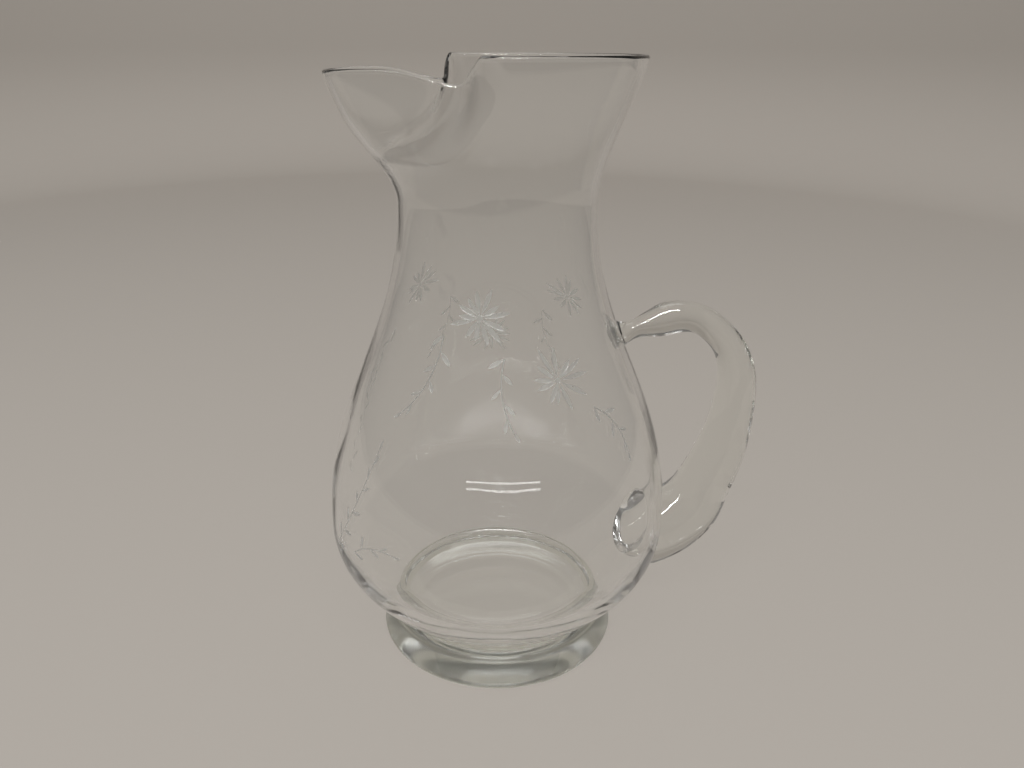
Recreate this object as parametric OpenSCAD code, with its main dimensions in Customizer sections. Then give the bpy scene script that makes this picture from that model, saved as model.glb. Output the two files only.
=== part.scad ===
// Blown clear-glass pitcher with a pinched ice lip, a thick applied foot and a drawn loop handle.
// Origin: centre of the foot's base. +Z up, the handle along +X, the spout along -X. Millimetres.
// The bowl is one skin. Its outer outline is four curves, from the floor's centre up to the rim,
// and the two folds beside the spout are pressed into the last of them.

/* [Bowl] */
// Height from the table to the top of the rim
height = 254; // [235:1:275]
// Diameter of the belly at its widest
belly_d = 149.6; // [138:0.1:160]
// Height of the widest part of the belly
belly_z = 60; // [54:0.5:68]
// Diameter of the neck at its narrowest
neck_d = 80; // [70:0.1:90]
// Height of the narrowest part of the neck
neck_z = 201; // [190:0.5:212]
// Diameter of the mouth, across the sides
mouth_d = 112.8; // [100:0.1:124]
// Height of the underside of the floor at its centre, which the foot fills
floor_z = 8.5; // [6:0.1:11]
// Height of the seam where the bowl leaves the foot
seam_z = 17; // [14:0.1:20]

/* [Glass thickness] */
// Thickness of the floor
floor_wall = 5; // [3.5:0.1:7]
// Thickness at the belly
belly_wall = 3.2; // [2.4:0.1:4]
// Thickness at the neck
neck_wall = 2.4; // [1.8:0.1:3]
// Thickness at the rim, which is melted round
rim_wall = 2; // [1.6:0.1:2.6]

/* [Spout and folds] */
// Distance of the spout's tip from the bowl's axis
spout_reach = 64.8; // [59:0.1:70]
// How far the spout's tip lies below the rim
spout_drop = 5; // [2:0.1:9]
// How far the spout's edge rises again beside the tip
spout_crest = 0.8; // [0:0.1:2]
// How far the rim dips in each fold
fold_drop = 8.7; // [5:0.1:12]
// How far each fold is pressed in from the round of the mouth
fold_depth = 22; // [14:0.1:25]
// How far below the rim the folds fade out
fold_length = 40; // [32:0.5:44]
// Angle from the spout to the bottom of each fold, at the rim
fold_angle = 58; // [50:1:64]
// Angle from the bottom of the fold to where the rim is round again
shoulder_angle = 24; // [18:1:28]
// Angle over which the rim climbs out of each fold to its full height
climb_angle = 17; // [14:1:24]

/* [Foot] */
// Diameter of the foot at the table
foot_d = 108; // [103:0.1:112]
// Diameter of the foot at its shoulder
foot_top_d = 100; // [96:0.1:102]
// How far the seam with the bowl lies inside the shoulder
seam_inset = 3.5; // [2:0.1:6]
// Rounding of the foot's heel
heel_r = 3; // [2:0.1:5]
// Height of the rounded shoulder at the foot's top
shoulder_h = 4.5; // [3:0.1:6]

/* [Handle] */
// How far the middle of the rod stands off the bowl at the farthest
handle_reach = 48; // [42:0.5:54]
// Height of the middle of the rod at the top of the loop
handle_top_z = 147.6; // [140:0.1:154]
// Height of the middle of the rod where it is lowest
handle_low_z = 41.5; // [39:0.1:44]
// Thickness of the handle at the top of the loop
handle_top_t = 14.4; // [11:0.1:17]
// Thickness of the handle where it leaves the belly
handle_pad_t = 34; // [28:0.1:37]
// Width of the flattened pad where the handle joins the belly
handle_pad_w = 36; // [28:0.1:40]
// Gap left between the handle's ends and the glass that they are fused to
fuse_gap = 0.1; // [0.05:0.01:0.2]

/* [Hidden] */

belly_r = belly_d / 2;
neck_r = neck_d / 2;
mouth_r = mouth_d / 2;
foot_r = foot_d / 2;
foot_top_r = foot_top_d / 2;
seam_r = foot_top_r - seam_inset;
lip_r = rim_wall / 2;
fold_start_z = height - fold_length;
full_turn = 360;

// Where each curve of the outline leaves and meets its ends, as shares of its own rise or width
floor_flat_share = 0.68;
floor_edge_share = 0.15;
lower_start_share = 0.2;
lower_end_share = 0.5;
side_start_share = 0.44;
side_end_share = 0.41;
flare_start_share = 0.3;
flare_end_share = 0.27;
flare_lean_share = 0.21;
flare_lean = atan(flare_lean_share);
lip_h = lip_r * (sin(flare_lean) + cos(flare_lean));
lip_base_z = height - lip_h;

// Rings along each curve, columns round the spout's side and round the back, and rings over the lip
floor_rings = 4;
lower_rings = 6;
side_rings = 9;
flare_rings = 12;
front_columns = 56;
back_columns = 34;
front_half_angle = 84;
lip_steps = 4;

// The spout's swell begins just above the neck, and is full at this share of the flare
spout_start_share = 0.02;
spout_full_share = 0.69;
// Half the angle that the swell covers
spout_half_angle = 78;
// The folds start soft over this share of their length, and the shoulder widens downwards by this angle
fold_soft_share = 0.3;
fold_widening = 25;
// The edge beside the tip is level up to this angle, and its crest ends at the next one
level_angle = 28;
crest_end_angle = 52;
// Makes the bottom of each fold a little flat
fold_flat_scale = 1.08;
// How much of a corner the rim keeps at the top of its climb
climb_corner_share = 0.8;

function smooth(x) = let (u = min(1, max(0, x))) u * u * (3 - 2 * u);
function mix(a, b, u) = a + (b - a) * u;
function curve(p, u) = pow(1 - u, 3) * p[0] + 3 * pow(1 - u, 2) * u * p[1]
    + 3 * (1 - u) * u * u * p[2] + pow(u, 3) * p[3];
function run(p, steps) = [for (i = [1:steps]) curve(p, i / steps)];

// The outer outline as [radius, height]
floor_curve = [[0, floor_z], [seam_r * floor_flat_share, floor_z],
    [seam_r * (1 - floor_edge_share), mix(seam_z, floor_z, floor_flat_share)], [seam_r, seam_z]];
lower_curve = [[seam_r, seam_z],
    [mix(seam_r, belly_r, 1.6 * lower_start_share), mix(seam_z, belly_z, lower_start_share)],
    [belly_r, mix(belly_z, seam_z, lower_end_share)], [belly_r, belly_z]];
side_curve = [[belly_r, belly_z], [belly_r, mix(belly_z, neck_z, side_start_share)],
    [neck_r, mix(neck_z, belly_z, side_end_share)], [neck_r, neck_z]];
flare_curve = [[neck_r, neck_z], [neck_r, mix(neck_z, lip_base_z, flare_start_share)],
    [mouth_r - flare_lean_share * flare_end_share * (height - neck_z),
        mix(lip_base_z, neck_z, flare_end_share)], [mouth_r, lip_base_z]];
floor_outline = run(floor_curve, floor_rings);
round_outline = concat(floor_outline, run(lower_curve, lower_rings), run(side_curve, side_rings));
outline = concat(round_outline, run(flare_curve, flare_rings));
rings = len(outline);

// Radius of the round part of the bowl at a height
radius_table = [for (p = round_outline) [p[1], p[0]]];
function bowl_radius(z) = lookup(z, radius_table);

// Glass thickness at a height
wall_table = [[seam_z, floor_wall], [belly_z, belly_wall], [neck_z, neck_wall],
    [lip_base_z, rim_wall]];
function wall(z) = lookup(z, wall_table);

// Angles of the columns, measured from the spout
back_angle = full_turn - 2 * front_half_angle;
column_angles = concat(
    [for (i = [0:front_columns - 1]) mix(-front_half_angle, front_half_angle, i / front_columns)],
    [for (i = [0:back_columns - 1]) front_half_angle + back_angle * i / back_columns]);
columns = len(column_angles);
function from_spout(a) = min(a < 0 ? -a : a, full_turn - a);

// Height of the rim at an angle from the spout
function rim_z(a) = a < fold_angle
    ? height - mix(spout_drop, fold_drop, smooth((a - level_angle) / (fold_angle - level_angle)))
        + spout_crest * pow(sin(180 * min(a, crest_end_angle) / crest_end_angle), 2)
    : height - fold_drop * (1 - climb(min(1, (a - fold_angle) / climb_angle)));
function climb(u) = mix(smooth(u), u * u, climb_corner_share);

// Radius of the flared part, with the spout's swell added and the fold taken away
function fold_press(a, u) = let (bottom = fold_angle * (1 - pow(1 - u, 2)))
    a < bottom ? smooth(fold_flat_scale * a / bottom)
    : 1 - smooth((a - bottom) / (shoulder_angle + fold_widening * (1 - u)));
function flare_radius(r, z, a) =
    let (rise = (z - neck_z) / (lip_base_z - neck_z),
        u = max(0, (z - fold_start_z) / (lip_base_z - fold_start_z)),
        swell = (spout_reach - mouth_r) * (1 - smooth(a / spout_half_angle))
            * smooth((rise - spout_start_share) / (spout_full_share - spout_start_share)))
    r + swell - fold_depth * u * smooth(u / fold_soft_share) * fold_press(a, u);

function skin_point(p, angle) =
    let (a = from_spout(angle), flared = p[1] > neck_z,
        r = flared ? flare_radius(p[0], p[1], a) : p[0],
        z = flared
            ? neck_z + (p[1] - neck_z) * (rim_z(a) - lip_h - neck_z) / (lip_base_z - neck_z)
            : p[1])
    [-r * cos(angle), -r * sin(angle), z];

outer_skin = [for (p = outline) [for (angle = column_angles) skin_point(p, angle)]];

function unit(v) = v / norm(v);
function outward(k, i) =
    let (before = outer_skin[k][(i + columns - 1) % columns], after = outer_skin[k][(i + 1) % columns],
        below = k > 0 ? outer_skin[k - 1][i] : [0, 0, floor_z],
        above = outer_skin[min(k + 1, rings - 1)][i])
    unit(cross(after - before, above - below));

inner_skin = [for (k = [0:rings - 1]) [for (i = [0:columns - 1])
    outer_skin[k][i] - wall(outline[k][1]) * outward(k, i)]];

// The melted lip: half a round from the outer skin over to the inner one
function lip_point(i, step) =
    let (top = outer_skin[rings - 1][i], bottom = inner_skin[rings - 1][i],
        out = (top - bottom) / 2, up = unit(cross(out, cross([0, 0, 1], out))),
        turn = 180 * step / lip_steps)
    (top + bottom) / 2 + cos(turn) * out + lip_r * sin(turn) * up;
lip_skin = [for (step = [1:lip_steps - 1]) [for (i = [0:columns - 1]) lip_point(i, step)]];

inner_down = [for (k = [rings - 1:-1:0]) inner_skin[k]];
bowl_rings = concat(outer_skin, lip_skin, inner_down);

// A closed solid from rings of points: triangles between the rings, and a fan at each end
function sheet_faces(count, sides) = [for (k = [0:count - 2]) for (i = [0:sides - 1])
    let (a = k * sides + i, b = k * sides + (i + 1) % sides)
    each [[a, a + sides, b], [b, a + sides, b + sides]]];
function fan_faces(first, sides, centre, flip) = [for (i = [0:sides - 1])
    let (a = first + i, b = first + (i + 1) % sides) flip ? [b, a, centre] : [a, b, centre]];
module closed_rings(skin, start, end) {
    sides = len(skin[0]);
    count = len(skin);
    points = concat([for (ring = skin) each ring], [start, end]);
    polyhedron(points, concat(sheet_faces(count, sides),
        fan_faces(0, sides, count * sides, false),
        fan_faces((count - 1) * sides, sides, count * sides + 1, true)), convexity = 8);
}

module bowl() {
    color([0.9, 0.93, 0.92, 0.45])
        closed_rings(bowl_rings, [0, 0, floor_z], [0, 0, floor_z + floor_wall]);
}

// The foot: a solid disc whose top is the bed of the bowl's floor
heel_steps = 6;
heel = [for (i = [0:heel_steps]) let (turn = 90 * i / heel_steps)
    [foot_r - heel_r + heel_r * sin(turn), heel_r - heel_r * cos(turn)]];
shoulder_steps = 5;
shoulder = [for (i = [0:shoulder_steps]) let (turn = 90 * i / shoulder_steps)
    [mix(seam_r, foot_top_r, cos(turn)), seam_z - shoulder_h + shoulder_h * sin(turn)]];
bed = [for (i = [floor_rings - 2:-1:0]) floor_outline[i]];
module foot() {
    color([0.8, 0.87, 0.84, 0.6])
        rotate_extrude($fn = 144)
            polygon(concat([[0, 0]], heel, shoulder, bed, [[0, floor_z]]));
}

// The handle: each row is a place along the rod, from the pad on the belly to the shoulder.
// First the distance of its middle off the bowl as a share of handle_reach, then the height as
// a share of the way from handle_low_z to handle_top_z. The third number is the angle that the
// section leans at. The last two are thickness and width: 0 is as at the top, 1 as at the pad.
handle_shares = [
    [-0.085, 0.035, -115, 0.95, 1],
    [0.065, 0, -98, 1.1, 0.91],
    [0.19, 0.015, -78, 1.05, 0.83],
    [0.315, 0.055, -62, 0.98, 0.73],
    [0.435, 0.125, -46, 0.83, 0.62],
    [0.565, 0.255, -40, 0.62, 0.5],
    [0.705, 0.39, -34, 0.53, 0.38],
    [0.82, 0.52, -26, 0.38, 0.29],
    [0.91, 0.63, -13, 0.26, 0.21],
    [0.98, 0.73, 8, 0.15, 0.14],
    [1, 0.82, 25, 0.05, 0.08],
    [0.97, 0.89, 43, -0.02, 0.04],
    [0.88, 0.955, 60, -0.05, 0.01],
    [0.77, 0.99, 75, -0.05, 0],
    [0.62, 1, 88, 0, -0.01],
    [0.45, 0.99, 94, 0.02, -0.03],
    [0.315, 0.975, 97, -0.14, -0.11],
    [0.185, 0.96, 100, -0.3, -0.22],
    [0.085, 0.945, 102, -0.28, -0.24],
    [-0.005, 0.94, 110, -0.09, -0.13]
];
handle_ring_steps = 3;
handle_sides = 24;
cap_shares = [0.75, 0.5, 0.25];
last_row = len(handle_shares) - 1;

// A smooth line through the rows, cubic between each pair
function through(a, b, c, d, u) = b + u * (c - a) / 2 + u * u * (a - 2.5 * b + 2 * c - d / 2)
    + u * u * u * (1.5 * b - 1.5 * c + (d - a) / 2);
function row(i) = handle_shares[min(last_row, max(0, i))];
function row_at(s) = let (i = min(last_row - 1, floor(s)), u = s - i)
    through(row(i - 1), row(i), row(i + 1), row(i + 2), u);

// Keeps a point of the handle off the bowl by the fuse gap
function off_bowl(p) = let (r = norm([p[0], p[1]]), least = bowl_radius(p[2]) + fuse_gap)
    r < least ? [p[0] * least / r, p[1] * least / r, p[2]] : p;
function rod_middle(r) = let (z = mix(handle_low_z, handle_top_z, r[1]))
    [bowl_radius(z) + r[0] * handle_reach, 0, z];
function handle_ring(s, size) =
    let (r = row_at(s), middle = rod_middle(r),
        back = size * mix(handle_top_t, handle_pad_t, r[3]) / 2 * [cos(r[2]), 0, sin(r[2])],
        side = size * mix(handle_top_t, handle_pad_w, r[4]) / 2 * [0, 1, 0])
    [for (i = [0:handle_sides - 1]) let (turn = full_turn * i / handle_sides)
        off_bowl(middle + cos(turn) * back + sin(turn) * side)];
function handle_centre(s) = off_bowl(rod_middle(row_at(s)));
cap_out = [for (i = [len(cap_shares) - 1:-1:0]) cap_shares[i]];
handle_skin = concat(
    [for (c = cap_out) handle_ring(0, c)],
    [for (s = [0:last_row * handle_ring_steps]) handle_ring(s / handle_ring_steps, 1)],
    [for (c = cap_shares) handle_ring(last_row, c)]);
module handle() {
    color([0.85, 0.9, 0.88, 0.55])
        closed_rings(handle_skin, handle_centre(0), handle_centre(last_row));
}

bowl();
foot();
handle();
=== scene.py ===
"""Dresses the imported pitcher: fine clear glass for the bowl, foot and handle, their fused joins,
and the wheel-cut daisies and leaf sprays. Lengths are millimetres unless a comment says metres, in
the part's own frame: the foot stands on z = 0, the handle is along +X and the spout along -X."""
import math

import bpy
import numpy as np
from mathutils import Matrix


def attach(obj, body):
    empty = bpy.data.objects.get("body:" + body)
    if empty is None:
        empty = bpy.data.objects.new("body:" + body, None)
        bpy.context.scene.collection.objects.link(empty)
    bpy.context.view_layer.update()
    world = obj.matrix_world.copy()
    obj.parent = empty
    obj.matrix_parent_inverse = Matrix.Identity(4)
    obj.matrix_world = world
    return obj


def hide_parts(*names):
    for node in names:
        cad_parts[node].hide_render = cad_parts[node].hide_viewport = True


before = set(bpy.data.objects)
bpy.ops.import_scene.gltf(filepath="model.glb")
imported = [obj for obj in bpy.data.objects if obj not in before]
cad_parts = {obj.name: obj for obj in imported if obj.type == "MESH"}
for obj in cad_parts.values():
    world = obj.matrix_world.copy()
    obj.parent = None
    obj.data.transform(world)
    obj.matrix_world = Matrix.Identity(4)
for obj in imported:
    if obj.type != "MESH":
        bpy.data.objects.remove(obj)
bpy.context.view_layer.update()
# Metres in a millimetre
MM = 0.001

# The bowl, as in the part's source
HEIGHT, BELLY_R, BELLY_Z = 254.0, 74.8, 60.0
NECK_R, NECK_Z, MOUTH_R = 40.0, 201.0, 56.4
FLOOR_Z, SEAM_R, SEAM_Z = 8.5, 46.5, 17.0
FLOOR_WALL, BELLY_WALL, NECK_WALL, RIM_WALL = 5.0, 3.2, 2.4, 2.0
SPOUT_REACH, SPOUT_DROP, SPOUT_CREST, SPOUT_HALF_ANGLE = 64.8, 5.0, 0.8, 78.0
FOLD_DROP, FOLD_DEPTH, FOLD_LENGTH = 8.7, 22.0, 40.0
FOLD_ANGLE, SHOULDER_ANGLE, CLIMB_ANGLE, CLIMB_CORNER_SHARE = 58.0, 24.0, 17.0, 0.8
# Angles from the spout at which its crest ends, and from which the rim dips towards the fold
CREST_ANGLE, DIP_ANGLE = 52, 28
# How early each fold is at its full depth, the share of its length over which it fades in, and
# how many degrees wider its far side is at the start
FOLD_EARLY, FOLD_FADE, SHOULDER_SPREAD = 1.08, 0.3, 25
# Where the spout starts to swell above the neck, and over how much of the flare
SWELL_START, SWELL_SPAN = 0.02, 0.67
# The flare's slope at the rim, as width per height, and the share of its height that is led by it
RIM_SLOPE, RIM_SHARE = 0.21, 0.27
# The melted lip is half round and leans as the flare does. Its base is where the skins end.
LIP_R = RIM_WALL / 2
FLARE_LEAN = math.atan(RIM_SLOPE)
LIP_H = LIP_R * (math.sin(FLARE_LEAN) + math.cos(FLARE_LEAN))
LIP_BASE_Z = HEIGHT - LIP_H
LIP_STEPS = 8
# The middle points of the outline's curves. The floor's are shares of the seam's radius, and of
# its rise for the second. The others are shares of the way from one end of the curve to the other.
FLOOR_FLAT, FLOOR_CURL, FLOOR_RISE = 0.68, 0.85, 0.32
SEAM_OUT, SEAM_UP, BELLY_DOWN = 0.32, 0.2, 0.5
BELLY_UP, NECK_DOWN, NECK_UP = 0.44, 0.41, 0.3
# Rows of points along each curve. The foot's bed has the floor's.
FLOOR_STEPS, LOWER_STEPS, SIDE_STEPS, FLARE_STEPS = 20, 34, 44, 46
# The foot, and the handle: reach off the bowl, height of the top and of the lowest middle, the
# thickness at the top, and the pad's thickness and width
FOOT_R, FOOT_TOP_R, HEEL_R, SHOULDER_H = 54.0, 50.0, 3.0, 4.5
REACH, TOP_Z, LOW_Z, TOP_T, PAD_T, PAD_W = 48.0, 147.6, 41.5, 14.4, 34.0, 36.0
# The deepest furrow, as a share of the handle's thickness
FURROWS = 0.05
# How far the handle's ends stay off the bowl's skin
END_GAP = 0.02
# The waves that add up to the furrows: share, count round the section, and start in radians
FURROW_WAVES = ((0.6, 3, 0.9), (0.4, 5, 2.4))
# From the lower end to the upper one: how far the middle stands off the bowl as a share of the
# reach, its height from the lowest to the top, the section's lean in degrees, and its thickness
# and its width, from 0 at the top of the loop to 1 at the pad
HANDLE_ROWS = np.array([
    [-0.085, 0.035, -115, 0.95, 1],
    [0.065, 0, -98, 1.1, 0.91],
    [0.19, 0.015, -78, 1.05, 0.83],
    [0.315, 0.055, -62, 0.98, 0.73],
    [0.435, 0.125, -46, 0.83, 0.62],
    [0.565, 0.255, -40, 0.62, 0.5],
    [0.705, 0.39, -34, 0.53, 0.38],
    [0.82, 0.52, -26, 0.38, 0.29],
    [0.91, 0.63, -13, 0.26, 0.21],
    [0.98, 0.73, 8, 0.15, 0.14],
    [1, 0.82, 25, 0.05, 0.08],
    [0.97, 0.89, 43, -0.02, 0.04],
    [0.88, 0.955, 60, -0.05, 0.01],
    [0.77, 0.99, 75, -0.05, 0],
    [0.62, 1, 88, 0, -0.01],
    [0.45, 0.99, 94, 0.02, -0.03],
    [0.315, 0.975, 97, -0.14, -0.11],
    [0.185, 0.96, 100, -0.3, -0.22],
    [0.085, 0.945, 102, -0.28, -0.24],
    [-0.005, 0.94, 110, -0.09, -0.13]])


# Shapes

def smooth(x):
    """From 0 to 1 as x goes from 0 to 1, with a soft start and end."""
    u = np.clip(x, 0, 1)
    return u * u * (3 - 2 * u)


def mix(a, b, u):
    """The value a share u of the way from a to b."""
    return a + (b - a) * u


def bend(points, steps):
    """A cubic curve through its own end points, without the first one."""
    p = np.array(points, float)
    u = (np.arange(1, steps + 1) / steps)[:, None]
    return (1 - u) ** 3 * p[0] + 3 * (1 - u) ** 2 * u * p[1] \
        + 3 * (1 - u) * u * u * p[2] + u ** 3 * p[3]


# The outline's four curves, from the floor's middle up to the foot of the lip
FLOOR_LINE = bend([[0, FLOOR_Z],
                   [SEAM_R * FLOOR_FLAT, FLOOR_Z],
                   [SEAM_R * FLOOR_CURL, mix(FLOOR_Z, SEAM_Z, FLOOR_RISE)],
                   [SEAM_R, SEAM_Z]], FLOOR_STEPS)
LOWER_LINE = bend([[SEAM_R, SEAM_Z],
                   [mix(SEAM_R, BELLY_R, SEAM_OUT), mix(SEAM_Z, BELLY_Z, SEAM_UP)],
                   [BELLY_R, mix(BELLY_Z, SEAM_Z, BELLY_DOWN)],
                   [BELLY_R, BELLY_Z]], LOWER_STEPS)
SIDE_LINE = bend([[BELLY_R, BELLY_Z],
                  [BELLY_R, mix(BELLY_Z, NECK_Z, BELLY_UP)],
                  [NECK_R, mix(NECK_Z, BELLY_Z, NECK_DOWN)],
                  [NECK_R, NECK_Z]], SIDE_STEPS)
FLARE_LINE = bend([[NECK_R, NECK_Z],
                   [NECK_R, mix(NECK_Z, LIP_BASE_Z, NECK_UP)],
                   [MOUTH_R - RIM_SLOPE * RIM_SHARE * (HEIGHT - NECK_Z),
                    mix(LIP_BASE_Z, NECK_Z, RIM_SHARE)],
                   [MOUTH_R, LIP_BASE_Z]], FLARE_STEPS)
ROUND_LINE = np.vstack([FLOOR_LINE, LOWER_LINE, SIDE_LINE])
OUTLINE = np.vstack([ROUND_LINE, FLARE_LINE])


def bowl_radius(z):
    """Radius of the bowl's outer skin below the neck."""
    return np.interp(z, ROUND_LINE[:, 1], ROUND_LINE[:, 0])


def wall(z):
    """Thickness of the glass at a height of the plain outline."""
    return np.interp(z, [SEAM_Z, BELLY_Z, NECK_Z, LIP_BASE_Z],
                     [FLOOR_WALL, BELLY_WALL, NECK_WALL, RIM_WALL])


def rim_height(a):
    """Height of the rim at an angle from the spout: low at the tip, up over a slight crest, down
    into the fold and up again behind it."""
    dip = smooth((a - DIP_ANGLE) / (FOLD_ANGLE - DIP_ANGLE))
    spout = HEIGHT - mix(SPOUT_DROP, FOLD_DROP, dip)
    crest = np.sin(np.radians(180 * np.minimum(a, CREST_ANGLE) / CREST_ANGLE)) ** 2
    spout = spout + SPOUT_CREST * crest
    u = np.clip((a - FOLD_ANGLE) / CLIMB_ANGLE, 0, 1)
    back = HEIGHT - FOLD_DROP * (1 - mix(smooth(u), u * u, CLIMB_CORNER_SHARE))
    return np.where(a < FOLD_ANGLE, spout, back)


def fold_press(a, u):
    """How deep the fold is at an angle from the spout, from its start at u = 0 to the rim at 1."""
    bottom = np.maximum(FOLD_ANGLE * (1 - (1 - u) ** 2), 1e-6)
    return np.where(a < bottom, smooth(FOLD_EARLY * a / bottom),
                    1 - smooth((a - bottom) / (SHOULDER_ANGLE + SHOULDER_SPREAD * (1 - u))))


def bowl_skin(angles):
    """The bowl's outer skin as rings of points, from the floor's middle up to the rim."""
    a = np.minimum(np.abs(angles), 360 - angles)[None, :]
    r, z = OUTLINE[:, :1], OUTLINE[:, 1:]
    rise = (z - NECK_Z) / (LIP_BASE_Z - NECK_Z)
    start = HEIGHT - FOLD_LENGTH
    u = np.clip((z - start) / (LIP_BASE_Z - start), 0, None)
    swell = (SPOUT_REACH - MOUTH_R) * (1 - smooth(a / SPOUT_HALF_ANGLE)) \
        * smooth((rise - SWELL_START) / SWELL_SPAN)
    flared = r + swell - FOLD_DEPTH * u * smooth(u / FOLD_FADE) * fold_press(a, u)
    lifted = NECK_Z + (z - NECK_Z) * (rim_height(a) - LIP_H - NECK_Z) / (LIP_BASE_Z - NECK_Z)
    above = z > NECK_Z
    radius = np.where(above, flared, r + 0 * a)
    height = np.where(above, lifted, z + 0 * a)
    turn = np.radians(angles)[None, :]
    return np.stack([-radius * np.cos(turn), -radius * np.sin(turn), height], axis=2)


def outward(skin):
    """Unit normals of a skin of rings."""
    along = np.roll(skin, -1, axis=1) - np.roll(skin, 1, axis=1)
    below = np.vstack([np.broadcast_to([0, 0, skin[0, 0, 2]], (1,) + skin.shape[1:]), skin[:-1]])
    above = np.vstack([skin[1:], skin[-1:]])
    n = np.cross(along, above - below)
    return n / np.linalg.norm(n, axis=2, keepdims=True)


def handle_skin(sides, per_row, cap_steps):
    """The handle as rings from the pad's middle, over the pad, along the loop to the upper join.
    Also gives the middle of each end, and the number of the ring round the pad."""
    last = len(HANDLE_ROWS) - 1
    turn = 2 * np.pi * np.arange(sides) / sides

    def drawn(s):
        """Shallow furrows along the loop, left by the pull. They fade out at both ends."""
        wave = sum(share * np.cos(count * turn + start) for share, count, start in FURROW_WAVES)
        return 1 - FURROWS * math.sin(math.pi * s / last) ** 0.7 * (1 - wave) / 2

    def ring(s, size):
        """One ring at a place along the rows, which a smooth curve joins. Its size is 1 on the
        loop and less in the caps, and near 0 it gives a cap's middle."""
        i = min(last - 1, int(s))
        u = s - i
        a, b, c, d = (HANDLE_ROWS[min(last, max(0, i + k))] for k in (-1, 0, 1, 2))
        row = b + u * (c - a) / 2 + u * u * (a - 2.5 * b + 2 * c - d / 2) \
            + u ** 3 * (1.5 * b - 1.5 * c + (d - a) / 2)
        z = mix(LOW_Z, TOP_Z, row[1])
        middle = np.array([bowl_radius(z) + row[0] * REACH, 0, z])
        lean = math.radians(row[2])
        back = size * mix(TOP_T, PAD_T, row[3]) / 2 * np.array([math.cos(lean), 0, math.sin(lean)])
        side = size * mix(TOP_T, PAD_W, row[4]) / 2 * np.array([0, 1, 0])
        around = np.cos(turn)[:, None] * back + np.sin(turn)[:, None] * side
        p = middle + drawn(s)[:, None] * around
        off = np.hypot(p[:, 0], p[:, 1])
        least = bowl_radius(p[:, 2]) + END_GAP
        p[:, :2] *= np.maximum(1, least / off)[:, None]
        return p

    caps = np.arange(1, cap_steps) / cap_steps
    rings = [ring(0, c) for c in caps]
    rings += [ring(k / per_row, 1) for k in range(last * per_row + 1)]
    rings += [ring(last, c) for c in caps[::-1]]
    pad_middle, top_middle = (ring(end, 0.001)[0] for end in (0, last))
    return np.array(rings), pad_middle, top_middle, len(caps)


# Meshes

def ring_faces(rings, sides):
    """Quads between rings, as [ring, side, corner]."""
    k, i = np.meshgrid(np.arange(rings - 1), np.arange(sides), indexing="ij")
    j = (i + 1) % sides
    low, high = k * sides, (k + 1) * sides
    return np.stack([low + i, low + j, high + j, high + i], axis=2)


def signed_volume(verts, faces):
    """The volume inside the faces, which is negative if they face inwards."""
    total = 0.0
    for f in faces:
        a = verts[f[0]]
        for b, c in zip(f[1:-1], f[2:]):
            total += np.dot(a, np.cross(verts[b], verts[c]))
    return total / 6


def make_mesh(name, verts, faces, slots, materials, crease=60):
    """A smooth closed piece whose faces point outwards. Slots holds each face's material number,
    and edges bent by more than the crease's degrees stay sharp."""
    if signed_volume(verts, faces) < 0:
        faces = [tuple(reversed(f)) for f in faces]
    mesh = bpy.data.meshes.new(name)
    mesh.from_pydata((verts * MM).tolist(), [], faces)
    for m in materials:
        mesh.materials.append(m)
    mesh.polygons.foreach_set("material_index", np.array(slots, np.int32))
    mesh.polygons.foreach_set("use_smooth", np.ones(len(faces), bool))
    mesh.update()
    mesh.set_sharp_from_angle(angle=math.radians(crease))
    piece = bpy.data.objects.new(name, mesh)
    bpy.context.scene.collection.objects.link(piece)
    return piece


def close_rings(rings, start, end):
    """Points and faces of rings closed by a fan at each end. Also gives the ring that each face
    starts at: -1 in the first fan, and the count of rings in the last."""
    count, sides = rings.shape[:2]
    verts = np.vstack([rings.reshape(-1, 3), [start], [end]])
    quads = ring_faces(count, sides)
    faces = [tuple(int(v) for v in q) for q in quads.reshape(-1, 4)]
    level = list(np.repeat(np.arange(count - 1), sides))
    first, last = count * sides, (count - 1) * sides
    for i in range(sides):
        j = (i + 1) % sides
        faces.append((j, i, first))
        level.append(-1)
        faces.append((last + i, last + j, first + 1))
        level.append(count)
    return verts, faces, level


# Materials

GLASS_IOR = 1.5


def new_material(name):
    """A material with an empty node tree, and the tree."""
    m = bpy.data.materials.new(name)
    m.use_nodes = True
    m.node_tree.nodes.clear()
    return m, m.node_tree


def add(tree, kind, **values):
    """A node whose inputs and properties are set by name. A socket as a value is linked."""
    n = tree.nodes.new(kind)
    for key, value in values.items():
        if key in n.inputs:
            if isinstance(value, bpy.types.NodeSocket):
                tree.links.new(value, n.inputs[key])
            else:
                n.inputs[key].default_value = value
        else:
            setattr(n, key, value)
    return n


def lit_from_behind(tree):
    """1 for the rays that carry light to what is behind the glass, which pass it unbent."""
    rays = add(tree, "ShaderNodeLightPath")
    either = add(tree, "ShaderNodeMath", operation="ADD", use_clamp=True)
    tree.links.new(rays.outputs["Is Shadow Ray"], either.inputs[0])
    tree.links.new(rays.outputs["Is Diffuse Ray"], either.inputs[1])
    return either.outputs[0]


def end_glass(tree, body, shade):
    """Ends a glass material. The light it lets by to the things behind it is dimmed to a shade."""
    passing = add(tree, "ShaderNodeBsdfTransparent", Color=(shade, shade, shade, 1))
    both = add(tree, "ShaderNodeMixShader", Fac=lit_from_behind(tree))
    tree.links.new(body.outputs[0], both.inputs[1])
    tree.links.new(passing.outputs[0], both.inputs[2])
    out = add(tree, "ShaderNodeOutputMaterial")
    tree.links.new(both.outputs[0], out.inputs["Surface"])


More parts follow.
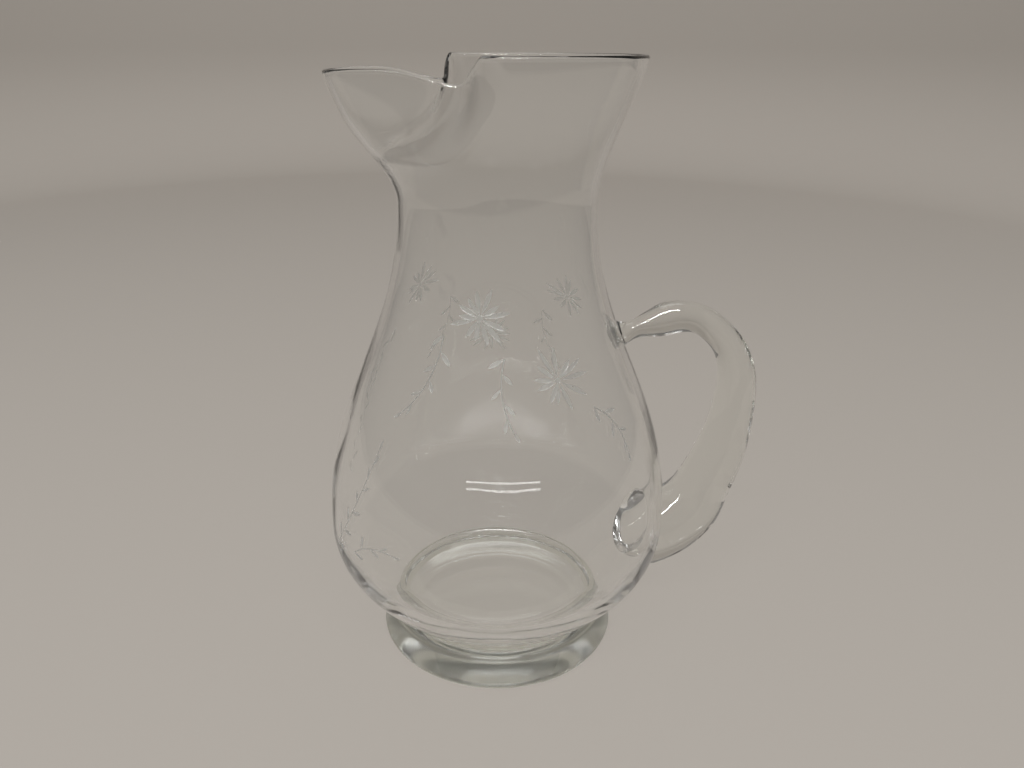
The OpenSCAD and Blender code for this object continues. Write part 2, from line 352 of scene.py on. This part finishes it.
def clear_glass(name, tint, ripple, ripple_size, shade, dull=0.0):
    """Hand-blown glass: clear, and faintly rippled, with the ripples drawn out in height."""
    m, t = new_material(name)
    place = add(t, "ShaderNodeTexCoord")
    drawn = add(t, "ShaderNodeMapping", Vector=place.outputs["Object"], Scale=(1, 1, 0.45))
    slow = add(t, "ShaderNodeTexNoise", Vector=drawn.outputs[0], Scale=1 / ripple_size, Detail=1.5)
    bump = add(t, "ShaderNodeBump", Height=slow.outputs[0], Strength=1.0, Distance=ripple)
    body = add(t, "ShaderNodeBsdfPrincipled", Roughness=dull, IOR=GLASS_IOR,
               Normal=bump.outputs[0])
    body.inputs["Base Color"].default_value = tint + (1,)
    body.inputs["Transmission Weight"].default_value = 1.0
    end_glass(t, body, shade)
    return m


def fused_join(name):
    """Where two gathers of glass have become one, so that nothing shows between them."""
    m, t = new_material(name)
    passing = add(t, "ShaderNodeBsdfTransparent")
    out = add(t, "ShaderNodeOutputMaterial")
    t.links.new(passing.outputs[0], out.inputs["Surface"])
    return m


def cut_glass(name):
    """A wheel cut: dull, finely scored glass, duller in some scores than in others."""
    m, t = new_material(name)
    place = add(t, "ShaderNodeTexCoord")
    marks = add(t, "ShaderNodeTexNoise", Vector=place.outputs["Object"], Scale=900.0, Detail=3.0)
    dull = add(t, "ShaderNodeMapRange", Value=marks.outputs[0])
    dull.inputs["To Min"].default_value = 0.2
    dull.inputs["To Max"].default_value = 0.42
    bump = add(t, "ShaderNodeBump", Height=marks.outputs[0], Strength=0.5, Distance=0.00004)
    body = add(t, "ShaderNodeBsdfPrincipled", Roughness=dull.outputs[0], IOR=GLASS_IOR,
               Normal=bump.outputs[0])
    body.inputs["Base Color"].default_value = (0.93, 0.94, 0.93, 1)
    body.inputs["Transmission Weight"].default_value = 0.972
    end_glass(t, body, 1.0)
    return m


# Tint, depth and size of the ripples in metres, shade, and dullness where it isn't polished
BOWL_GLASS = clear_glass("bowl_glass", (0.993, 0.995, 0.991), 0.0004, 0.03, 0.985)
FOOT_GLASS = clear_glass("foot_glass", (0.74, 0.765, 0.69), 0.00015, 0.03, 0.97)
WORN_BASE = clear_glass("worn_base", (0.93, 0.935, 0.90), 0.00002, 0.008, 0.96, 0.1)
HANDLE_GLASS = clear_glass("handle_glass", (0.955, 0.958, 0.935), 0.0003, 0.018, 0.97)
JOIN = fused_join("fused_join")
CUT = cut_glass("wheel_cut_glass")


# Geometry trees

def begin_tree(name, inputs):
    """An empty geometry tree with named inputs, and the node that gives them."""
    tree = bpy.data.node_groups.new(name, "GeometryNodeTree")
    tree.interface.new_socket("Geometry", in_out="OUTPUT", socket_type="NodeSocketGeometry")
    for label, kind in inputs:
        tree.interface.new_socket(label, in_out="INPUT", socket_type="NodeSocket" + kind)
    return tree, tree.nodes.new("NodeGroupInput").outputs


def feed(tree, value, socket):
    """Links a socket to another, or gives it a value."""
    if isinstance(value, bpy.types.NodeSocket):
        tree.links.new(value, socket)
    else:
        socket.default_value = value


def calc(tree, operation, *terms):
    """One operation of a maths node on numbers or sockets, as a socket."""
    n = tree.nodes.new("ShaderNodeMath")
    n.operation = operation
    for term, socket in zip(terms, n.inputs):
        feed(tree, term, socket)
    return n.outputs[0]


def combine(tree, *terms):
    """A vector of numbers or sockets, as a socket."""
    n = tree.nodes.new("ShaderNodeCombineXYZ")
    for term, socket in zip(terms, n.inputs):
        feed(tree, term, socket)
    return n.outputs[0]


def chance(tree, low, high, seed, step):
    """A random number for each point, from the tree's own seed."""
    n = tree.nodes.new("FunctionNodeRandomValue")
    feed(tree, low, n.inputs[2])
    feed(tree, high, n.inputs[3])
    feed(tree, calc(tree, "ADD", seed, step), n.inputs["Seed"])
    return n.outputs[1]


def end_tree(tree, parts, material, others=()):
    """Joins the parts, makes them real, gives them their material and ends the tree. Others
    holds further materials, each with the faces that get it."""
    whole = tree.nodes.new("GeometryNodeJoinGeometry")
    for part in parts:
        tree.links.new(part, whole.inputs[0])
    done = add(tree, "GeometryNodeRealizeInstances", Geometry=whole.outputs[0])
    done = add(tree, "GeometryNodeSetMaterial", Geometry=done.outputs[0], Material=material)
    for other, chosen in others:
        done = add(tree, "GeometryNodeSetMaterial", Geometry=done.outputs[0], Material=other,
                   Selection=chosen)
    tree.links.new(done.outputs[0], tree.nodes.new("NodeGroupOutput").inputs[0])
    return tree


def grow(name, tree, values):
    """A plain object with the mesh that a tree makes from its named inputs."""
    holder = bpy.data.objects.new(name, bpy.data.meshes.new("blank"))
    bpy.context.scene.collection.objects.link(holder)
    grown = holder.modifiers.new("grown", "NODES")
    grown.node_group = tree
    for item in tree.interface.items_tree:
        if item.in_out == "INPUT":
            grown[item.identifier] = values[item.name]
    depsgraph = bpy.context.evaluated_depsgraph_get()
    mesh = bpy.data.meshes.new_from_object(holder.evaluated_get(depsgraph))
    holder.modifiers.remove(grown)
    holder.data = mesh
    numbers = np.empty(len(mesh.polygons), np.int32)
    mesh.polygons.foreach_get("material_index", numbers)
    used = np.unique(numbers)
    materials = [mesh.materials[k] for k in used]
    mesh.materials.clear()
    for material in materials:
        mesh.materials.append(material)
    renumbered = np.searchsorted(used, numbers).astype(np.int32)
    mesh.polygons.foreach_set("material_index", renumbered)
    mesh.polygons.foreach_set("use_smooth", np.ones(len(mesh.polygons), bool))
    return holder


# The glass pieces

# Columns round the bowl, which are closer together within the half angle on each side of the spout
FRONT_COLUMNS, BACK_COLUMNS, FRONT_HALF = 132, 108, 84.0
ANGLES = np.concatenate([
    (mix(-FRONT_HALF, FRONT_HALF, np.arange(FRONT_COLUMNS) / FRONT_COLUMNS)) % 360,
    FRONT_HALF + (360 - 2 * FRONT_HALF) * np.arange(BACK_COLUMNS) / BACK_COLUMNS])

handle_rings, pad_middle, top_middle, pad_ring = handle_skin(sides=64, per_row=8, cap_steps=8)
pad_edge, top_edge = handle_rings[pad_ring], handle_rings[-1 - pad_ring]


def patch_of(edge):
    """The oval that a handle's end covers on the bowl: middle height, half height, half width."""
    low, high = edge[:, 2].min(), edge[:, 2].max()
    return (low + high) / 2, (high - low) / 2, edge[:, 1].max()


def snap_to_patch(skin, patch):
    """Moves the points nearest an oval's line on to it. Returns each point's side of the line:
    -1 inside, 0 on it and 1 outside."""
    middle, half_z, half_y = patch
    y, z = skin[..., 1], skin[..., 2]
    f = np.hypot(y / half_y, (z - middle) / half_z)
    # The side away from the handle counts as far outside
    f = np.where(skin[..., 0] > 0, f, 9.0)
    near = np.zeros(f.shape, bool)
    for axis in (0, 1):
        g = np.roll(f, -1, axis=axis)
        crosses = (f < 1) != (g < 1)
        if axis == 0:
            crosses[-1] = False
        mine = crosses & (np.abs(f - 1) <= np.abs(g - 1))
        near |= mine | np.roll(crosses & ~mine, 1, axis=axis)
    skin[near, 1] = y[near] / f[near]
    skin[near, 2] = middle + (z[near] - middle) / f[near]
    skin[near, 0] = np.sqrt(bowl_radius(skin[near, 2]) ** 2 - skin[near, 1] ** 2)
    return np.where(near, 0, np.where(f < 1, -1, 1))


def make_bowl():
    """The bowl's two skins and lip. Faces that touch the foot or the handle's ends are joins."""
    outer = bowl_skin(ANGLES)
    normals = outward(outer)
    inner = outer - wall(OUTLINE[:, 1])[:, None, None] * normals
    top, bottom = outer[-1], inner[-1]
    out = (top - bottom) / 2
    up = np.cross(out, np.cross([0, 0, 1], out))
    up /= np.linalg.norm(up, axis=1, keepdims=True)
    turns = np.pi * np.arange(1, LIP_STEPS) / LIP_STEPS
    lip = np.array([(top + bottom) / 2 + math.cos(t) * out + LIP_R * math.sin(t) * up
                    for t in turns])
    sides = [snap_to_patch(outer, patch_of(e)).ravel() for e in (pad_edge, top_edge)]
    side = np.minimum(*[s.astype(int) for s in sides])
    rings = np.vstack([outer, lip, inner[::-1]])
    verts, faces, level = close_rings(rings, [0, 0, FLOOR_Z], [0, 0, FLOOR_Z + FLOOR_WALL])
    # The rings up to the seam lie on the foot's bed, and the handle's ends cover their ovals
    under, kept, slots = len(FLOOR_LINE) - 1, [], []
    for face, ring in zip(faces, level):
        if 0 <= ring < len(outer) - 1:
            s = [side[v] for v in face]
            if min(s) < 0 < max(s):
                # The line crosses this face from corner to corner, so it is split there
                shift = 0 if s[0] == 0 else 1
                a, b, c, d = face[shift:] + face[:shift]
                for part in ((a, b, c), (a, c, d)):
                    kept.append(part)
                    slots.append(1 if min(side[v] for v in part) < 0 else 0)
                continue
            slots.append(1 if ring < under or min(s) < 0 else 0)
        else:
            slots.append(1 if ring == -1 else 0)
        kept.append(face)
    return make_mesh("blown_bowl", verts, kept, slots, [BOWL_GLASS, JOIN])


def foot_tree():
    """The foot turned round its axis: base, heel, flank, shoulder and the bed under the bowl."""
    tree, given = begin_tree("turned_foot", [
        ("Foot Radius", "Float"), ("Shoulder Radius", "Float"), ("Seam Radius", "Float"),
        ("Seam Height", "Float"), ("Shoulder Height", "Float"), ("Heel", "Float"),
        ("Bed Height", "Float"), ("Sides", "Int"), ("Glass", "Material"), ("Join", "Material"),
        ("Base", "Material")])
    number = add(tree, "GeometryNodeInputIndex").outputs[0]
    heel = given["Heel"]
    low = calc(tree, "SUBTRACT", given["Seam Height"], given["Shoulder Height"])
    inner = calc(tree, "SUBTRACT", given["Foot Radius"], heel)

    def between(a, b, u):
        return calc(tree, "MULTIPLY_ADD", calc(tree, "SUBTRACT", b, a), u, a)

    def product(a, b, c):
        return calc(tree, "MULTIPLY", calc(tree, "MULTIPLY", a, b), c)

    def part(count, first, steps, rule):
        """Points along one part of the outline, from shares of its length."""
        u = calc(tree, "DIVIDE", calc(tree, "ADD", number, float(first)), float(steps))
        radius, height = rule(u)
        return add(tree, "GeometryNodePoints", Count=count,
                   Position=combine(tree, radius, 0.0, height)).outputs[0]

    def heel_rule(u):
        a = calc(tree, "MULTIPLY", u, math.pi / 2)
        return (calc(tree, "MULTIPLY_ADD", heel, calc(tree, "SINE", a), inner),
                calc(tree, "MULTIPLY", heel, calc(tree, "SUBTRACT", 1.0, calc(tree, "COSINE", a))))

    def shoulder_rule(u):
        a = calc(tree, "MULTIPLY", u, math.pi / 2)
        return (between(given["Seam Radius"], given["Shoulder Radius"], calc(tree, "COSINE", a)),
                calc(tree, "MULTIPLY_ADD", given["Shoulder Height"], calc(tree, "SINE", a), low))

    def bed_rule(u):
        w = calc(tree, "SUBTRACT", 1.0, u)
        full = calc(tree, "POWER", w, 3.0)
        late = calc(tree, "MULTIPLY", product(w, w, u), 3.0)
        early = calc(tree, "MULTIPLY", product(u, u, w), 3.0)
        radius = calc(tree, "MULTIPLY_ADD", late, FLOOR_CURL,
                      calc(tree, "MULTIPLY_ADD", early, FLOOR_FLAT, full))
        rise = calc(tree, "MULTIPLY_ADD", late, FLOOR_RISE, full)
        return (calc(tree, "MULTIPLY", radius, given["Seam Radius"]),
                between(given["Bed Height"], given["Seam Height"], rise))

    def base_rule(u):
        return calc(tree, "MULTIPLY", u, inner), 0.0

    def flank_rule(u):
        return (between(given["Foot Radius"], given["Shoulder Radius"], u),
                between(heel, low, u))

    # How many points each part has, the first one's number, and the steps along the whole part
    plan = [(8, 0, 8, base_rule), (13, 0, 12, heel_rule), (7, 1, 8, flank_rule),
            (13, 0, 12, shoulder_rule), (FLOOR_STEPS, 1, FLOOR_STEPS, bed_rule)]
    parts = [part(*row) for row in plan]
    rows = sum(row[0] for row in plan)
    outline = tree.nodes.new("GeometryNodeJoinGeometry")
    for points in reversed(parts):
        tree.links.new(points, outline.inputs[0])
    # A sheet with a row for each point of the outline is wound round the axis
    around = calc(tree, "ADD", given["Sides"], 1.0)
    sheet = add(tree, "GeometryNodeMeshGrid")
    sheet.inputs["Vertices X"].default_value = rows
    tree.links.new(around, sheet.inputs["Vertices Y"])
    row = calc(tree, "FLOOR", calc(tree, "DIVIDE", calc(tree, "ADD", number, 0.5), around))
    column = calc(tree, "SUBTRACT", number, calc(tree, "MULTIPLY", row, around))
    spot = tree.nodes.new("GeometryNodeSampleIndex")
    spot.data_type = "FLOAT_VECTOR"
    tree.links.new(outline.outputs[0], spot.inputs["Geometry"])
    tree.links.new(add(tree, "GeometryNodeInputPosition").outputs[0], spot.inputs["Value"])
    tree.links.new(row, spot.inputs["Index"])
    at = add(tree, "ShaderNodeSeparateXYZ", Vector=spot.outputs[0]).outputs
    turn = calc(tree, "MULTIPLY", calc(tree, "DIVIDE", column, given["Sides"]), 2 * math.pi)
    place = combine(tree, calc(tree, "MULTIPLY", at[0], calc(tree, "COSINE", turn)),
                    calc(tree, "MULTIPLY", at[0], calc(tree, "SINE", turn)), at[2])
    turned = add(tree, "GeometryNodeSetPosition", Geometry=sheet.outputs["Mesh"], Position=place)
    # This closes the sheet where it comes round and at the axis. Distances are millimetres.
    closed = add(tree, "GeometryNodeMergeByDistance", Geometry=turned.outputs[0], Distance=0.0005)
    # The bed is what lies inside the seam above the base, and the base is what lies on the table
    centre = add(tree, "GeometryNodeInputPosition").outputs[0]
    x, y, z = add(tree, "ShaderNodeSeparateXYZ", Vector=centre).outputs
    off = calc(tree, "SQRT", calc(tree, "ADD", calc(tree, "MULTIPLY", x, x),
                                  calc(tree, "MULTIPLY", y, y)))
    seam = calc(tree, "SUBTRACT", given["Seam Radius"], 0.01)
    bed = calc(tree, "MULTIPLY", calc(tree, "GREATER_THAN", z, 1.0),
               calc(tree, "LESS_THAN", off, seam))
    base = calc(tree, "LESS_THAN", z, 0.005)
    return end_tree(tree, [closed.outputs[0]], given["Glass"],
                    [(given["Join"], bed), (given["Base"], base)])


def make_foot():
    """The foot's mesh, grown in millimetres, turned outwards and brought to metres."""
    piece = grow("solid_foot", foot_tree(), {
        "Foot Radius": FOOT_R, "Shoulder Radius": FOOT_TOP_R, "Seam Radius": SEAM_R,
        "Seam Height": SEAM_Z, "Shoulder Height": SHOULDER_H, "Heel": HEEL_R,
        "Bed Height": FLOOR_Z, "Sides": FRONT_COLUMNS + BACK_COLUMNS,
        "Glass": FOOT_GLASS, "Join": JOIN, "Base": WORN_BASE})
    mesh = piece.data
    spots = np.empty(len(mesh.vertices) * 3)
    mesh.vertices.foreach_get("co", spots)
    spots = spots.reshape(-1, 3)
    if signed_volume(spots, [tuple(f.vertices) for f in mesh.polygons]) < 0:
        mesh.flip_normals()
    mesh.vertices.foreach_set("co", (spots * MM).ravel())
    mesh.update()
    mesh.set_sharp_from_angle(angle=math.radians(35))
    return piece


def make_handle():
    """The handle, with joins where its two ends lie on the bowl."""
    verts, faces, level = close_rings(handle_rings, pad_middle, top_middle)
    last = len(handle_rings) - 1 - pad_ring
    slots = [1 if ring < pad_ring or ring >= last else 0 for ring in level]
    return make_mesh("drawn_handle", verts, faces, slots, [HANDLE_GLASS, JOIN], crease=75)


bowl = make_bowl()
foot = make_foot()
handle = make_handle()
for piece, node in ((bowl, "bowl"), (foot, "foot"), (handle, "handle")):
    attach(piece, "root")
    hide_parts(node)


# The wheel cuts

def pointed_cut(tree, start, length, width, depth):
    """One stroke of the wheel: a lens with a point at each end, lying along X."""
    ball = add(tree, "GeometryNodeMeshUVSphere", Segments=14, Rings=10, Radius=1.0)
    spot = add(tree, "GeometryNodeInputPosition").outputs[0]
    x, y, z = add(tree, "ShaderNodeSeparateXYZ", Vector=spot).outputs
    left = calc(tree, "SUBTRACT", 1.0, calc(tree, "MULTIPLY", z, z))
    thin = calc(tree, "SQRT", calc(tree, "MAXIMUM", left, 0.0))
    # A power below 1 puts the widest place a little past the middle
    share = calc(tree, "POWER", calc(tree, "MULTIPLY_ADD", z, 0.4999, 0.5), 0.8)
    across = calc(tree, "MULTIPLY", calc(tree, "MULTIPLY", y, thin),
                  calc(tree, "MULTIPLY", width, -0.5))
    deep = calc(tree, "MULTIPLY", calc(tree, "MULTIPLY", x, thin),
                calc(tree, "MULTIPLY", depth, 0.5))
    place = combine(tree, calc(tree, "MULTIPLY_ADD", share, length, start), across, deep)
    laid = add(tree, "GeometryNodeSetPosition", Geometry=ball.outputs["Mesh"], Position=place)
    return laid.outputs[0]


def daisy_tree():
    """Petals in a ring round a small heart, each a little out of true."""
    tree, given = begin_tree("cut_daisy", [
        ("Petals", "Int"), ("Petal Length", "Float"), ("Petal Width", "Float"), ("Heart", "Float"),
        ("Depth", "Float"), ("Ragged", "Float"), ("Seed", "Int"), ("Cut", "Material")])
    spots = add(tree, "GeometryNodePoints", Count=given["Petals"])
    share = calc(tree, "DIVIDE", add(tree, "GeometryNodeInputIndex").outputs[0], given["Petals"])
    off = chance(tree, -1.0, 1.0, given["Seed"], 0)
    angle = calc(tree, "MULTIPLY_ADD", share, 2 * math.pi,
                 calc(tree, "MULTIPLY", off, given["Ragged"]))
    size = chance(tree, 0.6, 1.0, given["Seed"], 1)
    petal = pointed_cut(tree, calc(tree, "MULTIPLY", given["Heart"], 0.9), given["Petal Length"],
                        given["Petal Width"], given["Depth"])
    ring = add(tree, "GeometryNodeInstanceOnPoints", Points=spots.outputs[0], Instance=petal,
               Rotation=combine(tree, 0.0, 0.0, angle), Scale=combine(tree, size, 1.0, 1.0))
    ball = add(tree, "GeometryNodeMeshUVSphere", Segments=18, Rings=10, Radius=1.0)
    flat = combine(tree, given["Heart"], given["Heart"],
                   calc(tree, "MULTIPLY", given["Depth"], 0.5))
    heart = add(tree, "GeometryNodeTransform", Geometry=ball.outputs["Mesh"], Scale=flat)
    return end_tree(tree, [ring.outputs[0], heart.outputs[0]], given["Cut"])


def spray_tree():
    """A curved stem with leaves on alternate sides, which close in towards its tip."""
    tree, given = begin_tree("leaf_spray", [
        ("Stem Length", "Float"), ("Stem Bend", "Float"), ("Stem Width", "Float"),
        ("Leaves", "Int"), ("Leaf Length", "Float"), ("Leaf Width", "Float"),
        ("Leaf Angle", "Float"), ("Depth", "Float"), ("Seed", "Int"), ("Cut", "Material")])
    length = given["Stem Length"]
    stem = add(tree, "GeometryNodeCurveQuadraticBezier", Resolution=28, Start=(0, 0, 0),
               Middle=combine(tree, calc(tree, "MULTIPLY", length, 0.5), given["Stem Bend"], 0.0),
               End=combine(tree, length, 0.0, 0.0))
    ring = add(tree, "GeometryNodeCurvePrimitiveCircle", Resolution=8,
               Radius=calc(tree, "MULTIPLY", given["Stem Width"], 0.5))
    line = add(tree, "GeometryNodeCurveToMesh", Curve=stem.outputs[0])
    tree.links.new(ring.outputs[0], line.inputs["Profile Curve"])
    line.inputs["Fill Caps"].default_value = True
    squash = calc(tree, "DIVIDE", given["Depth"], given["Stem Width"])
    flat = add(tree, "GeometryNodeTransform", Geometry=line.outputs[0],
               Scale=combine(tree, 1.0, 1.0, squash))
    spots = add(tree, "GeometryNodeCurveToPoints", Curve=stem.outputs[0], Count=given["Leaves"])
    along = add(tree, "ShaderNodeSeparateXYZ", Vector=spots.outputs["Tangent"]).outputs
    number = add(tree, "GeometryNodeInputIndex").outputs[0]
    share = calc(tree, "DIVIDE", number, calc(tree, "SUBTRACT", given["Leaves"], 1.0))
    side = calc(tree, "MULTIPLY_ADD", calc(tree, "MODULO", number, 2.0), 2.0, -1.0)
    open_ = calc(tree, "MULTIPLY", given["Leaf Angle"],
                 calc(tree, "SUBTRACT", 1.0, calc(tree, "POWER", share, 4.0)))
    wander = calc(tree, "MULTIPLY", chance(tree, -1.0, 1.0, given["Seed"], 0), 0.12)
    angle = calc(tree, "ADD", calc(tree, "ARCTAN2", along[1], along[0]),
                 calc(tree, "MULTIPLY_ADD", side, open_, wander))
    size = calc(tree, "MULTIPLY", chance(tree, 0.8, 1.05, given["Seed"], 1),
                calc(tree, "MULTIPLY_ADD", share, -0.3, 1.0))
    leaf = pointed_cut(tree, 0.0, given["Leaf Length"], given["Leaf Width"], given["Depth"])
    leaves = add(tree, "GeometryNodeInstanceOnPoints", Points=spots.outputs["Points"],
                 Instance=leaf, Rotation=combine(tree, 0.0, 0.0, angle),
                 Scale=combine(tree, size, size, 1.0))
    return end_tree(tree, [flat.outputs[0], leaves.outputs[0]], given["Cut"])


# Length along the bowl's outline up to each of its points
LINE_LENGTH = np.append(0, np.cumsum(np.linalg.norm(np.diff(ROUND_LINE, axis=0), axis=1)))
# How far the cuts stay off the bowl's skin
LIFT = 0.05


def cut_on_bowl(name, tree, values, angle, height, turn):
    """Grows a tree's mesh and lays it on the bowl's outer skin, at an angle from +X and a height,
    turned from the level by some degrees."""
    holder = grow(name, tree, values)
    mesh = holder.data
    flat = np.empty(len(mesh.vertices) * 3)
    mesh.vertices.foreach_get("co", flat)
    x, y, w = flat.reshape(-1, 3).T
    c, s = math.cos(math.radians(turn)), math.sin(math.radians(turn))
    along = np.interp(height, ROUND_LINE[:, 1], LINE_LENGTH) + x * s + y * c
    r = np.interp(along, LINE_LENGTH, ROUND_LINE[:, 0])
    z = np.interp(along, LINE_LENGTH, ROUND_LINE[:, 1])
    out = np.interp(along, LINE_LENGTH, np.gradient(ROUND_LINE[:, 1], LINE_LENGTH))
    up = -np.interp(along, LINE_LENGTH, np.gradient(ROUND_LINE[:, 0], LINE_LENGTH))
    a = math.radians(angle) + (x * c - y * s) / r
    lift = w + values["Depth"] / 2 + LIFT
    off = r + out * lift
    laid = np.stack([off * np.cos(a), off * np.sin(a), z + up * lift], axis=1)
    mesh.vertices.foreach_set("co", (laid * MM).ravel())
    mesh.update()
    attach(holder, "root")


# Sizes of the strokes. Petals stray and leaves lean out by angles in radians.
PETAL_WIDTH, HEART_R, PETAL_DEPTH, PETAL_STRAY = 1.9, 1.1, 0.14, 0.16
STEM_WIDTH, LEAF_LENGTH, LEAF_WIDTH, LEAF_ANGLE, LEAF_DEPTH = 0.45, 7.5, 1.9, 0.75, 0.16
# The first seed of each kind
DAISY_SEED, SPRAY_SEED = 11, 31
# Angle from +X, height, turn, petals and petal length
DAISIES = [(-107, 165, 8, 13, 11.5), (-74, 142, 25, 12, 13.5), (38, 150, 0, 12, 12.0),
           (84, 124, 15, 13, 13.0), (132, 158, 5, 12, 11.0)]
# Angle from +X and height of the stem's foot, turn, stem length, bend and leaves
SPRAYS = [(-163, 62, 66, 56, -9, 10), (-124, 158, -112, 34, 7, 7), (-96, 151, -84, 27, -5, 6),
          (-60, 130, -58, 26, 6, 6), (-150, 66, 20, 24, 5, 5), (56, 140, -96, 34, 6, 7),
          (108, 148, -80, 34, -6, 7), (160, 70, 100, 56, 8, 10), (146, 140, -70, 30, 6, 6)]
daisy, spray = daisy_tree(), spray_tree()
for k, (angle, height, turn, petals, length) in enumerate(DAISIES):
    cut_on_bowl("cut_daisy_%d" % (k + 1), daisy, {
        "Petals": petals, "Petal Length": length, "Petal Width": PETAL_WIDTH,
        "Heart": HEART_R, "Depth": PETAL_DEPTH, "Ragged": PETAL_STRAY,
        "Seed": DAISY_SEED + k, "Cut": CUT}, angle, height, turn)
for k, (angle, height, turn, length, bow, leaves) in enumerate(SPRAYS):
    cut_on_bowl("leaf_spray_%d" % (k + 1), spray, {
        "Stem Length": float(length), "Stem Bend": float(bow), "Stem Width": STEM_WIDTH,
        "Leaves": leaves, "Leaf Length": LEAF_LENGTH, "Leaf Width": LEAF_WIDTH,
        "Leaf Angle": LEAF_ANGLE, "Depth": LEAF_DEPTH,
        "Seed": SPRAY_SEED + k, "Cut": CUT}, angle, height, turn)


# The studio

# In metres: the floor's radius, how far its middle lies behind the pitcher, the radius of its
# curve up, and the wall's height
STAGE_R, STAGE_Y, CURVE_R, WALL_TOP = 0.95, 0.55, 0.25, 1.0
# The wall goes from one column to another of the sides round the floor, counted from +Y
STAGE_SIDES, WALL_FROM, WALL_TO = 120, -18, 29
# The floor lies this little below the foot
STAGE_GAP = 0.0002


def plain_surface(name, colour):
    """A dull, even surface."""
    m, t = new_material(name)
    body = add(t, "ShaderNodeBsdfPrincipled", Roughness=0.85)
    body.inputs["Base Color"].default_value = colour + (1,)
    body.inputs["Specular IOR Level"].default_value = 0.1
    out = add(t, "ShaderNodeOutputMaterial")
    t.links.new(body.outputs[0], out.inputs["Surface"])
    return m


def make_stage():
    """A round pale floor that curves up into a plain wall behind the pitcher."""
    # The floor's rings by their radius, and the wall's rows by radius and height
    flat = (0.1, 0.3, 0.5, 0.7, STAGE_R)
    rise = [(STAGE_R + CURVE_R * math.sin(a), CURVE_R - CURVE_R * math.cos(a))
            for a in np.radians(np.arange(9, 91, 9))]
    rise += [(STAGE_R + CURVE_R, 0.6), (STAGE_R + CURVE_R, WALL_TOP)]
    sides, columns = STAGE_SIDES, range(WALL_FROM, WALL_TO + 1)

    def at(r, z, k):
        turn = 2 * math.pi * k / sides
        return (r * math.sin(turn), STAGE_Y + r * math.cos(turn), z - STAGE_GAP)

    verts = [at(r, 0, k) for r in flat for k in range(sides)]
    faces = ring_faces(len(flat), sides).reshape(-1, 4).tolist()
    row = [(len(flat) - 1) * sides + k % sides for k in columns]
    for r, z in rise:
        higher = list(range(len(verts), len(verts) + len(row)))
        verts += [at(r, z, k) for k in columns]
        faces += [(row[i], row[i + 1], higher[i + 1], higher[i]) for i in range(len(row) - 1)]
        row = higher
    faces += [(len(verts), (i + 1) % sides, i) for i in range(sides)]
    mesh = bpy.data.meshes.new("plain_floor")
    mesh.from_pydata(verts + [at(0, 0, 0)], [], faces)
    mesh.polygons.foreach_set("use_smooth", np.ones(len(mesh.polygons), bool))
    mesh.materials.append(plain_surface("pale_floor", (0.42, 0.388, 0.352)))
    mesh.update()
    floor = bpy.data.objects.new("plain_floor", mesh)
    bpy.context.scene.collection.objects.link(floor)


def add_lamp(name, place, target, size, power):
    """An oblong lamp that faces a point, in metres and watts. Its first side stays level."""
    lamp = bpy.data.lights.new(name, "AREA")
    lamp.shape = "RECTANGLE"
    lamp.size, lamp.size_y = size
    lamp.energy = power
    holder = bpy.data.objects.new(name, lamp)
    bpy.context.scene.collection.objects.link(holder)
    holder.location = place
    way = np.array(target) - np.array(place)
    flat = math.hypot(way[0], way[1])
    holder.rotation_euler = (math.atan2(flat, -way[2]), 0, math.atan2(-way[0], way[1]))


make_stage()
# The tube gives the long reflections in the belly, and the soft lamp lights the wall
add_lamp("long_tube", (-0.50, -1.70, 2.55), (-0.2, 0, 0.1), (3.0, 0.11), 100)
add_lamp("soft_back", (0.25, 1.0, 2.7), (0.2, 1.7, 0), (1.8, 1.2), 12)

world = bpy.data.worlds.new("studio")
bpy.context.scene.world = world
world.use_nodes = True
background = world.node_tree.nodes["Background"].inputs
background["Color"].default_value = (0.13, 0.126, 0.12, 1)
background["Strength"].default_value = 1.0

# The photograph's view. How far the camera looks down, and to the right of +Y, in degrees. Its
# lens is in millimetres and its place in metres.
LOOK_DOWN, LOOK_RIGHT = 22.37, 9
eye = bpy.data.cameras.new("eye")
eye.sensor_width = 36
eye.lens = 29.08
eye.shift_x = 0.0144
eye.clip_start = 0.01
camera = bpy.data.objects.new("eye", eye)
bpy.context.scene.collection.objects.link(camera)
camera.location = (-0.0520, -0.3286, 0.2577)
camera.rotation_euler = (math.radians(90 - LOOK_DOWN), 0, math.radians(-LOOK_RIGHT))
bpy.context.scene.camera = camera
bpy.context.scene.view_settings.view_transform = "Standard"
# Light crosses the thick foot and handle many times before it leaves
cycles = bpy.context.scene.cycles
cycles.max_bounces = 64
cycles.glossy_bounces = 40
cycles.transmission_bounces = 32
cycles.transparent_max_bounces = 48
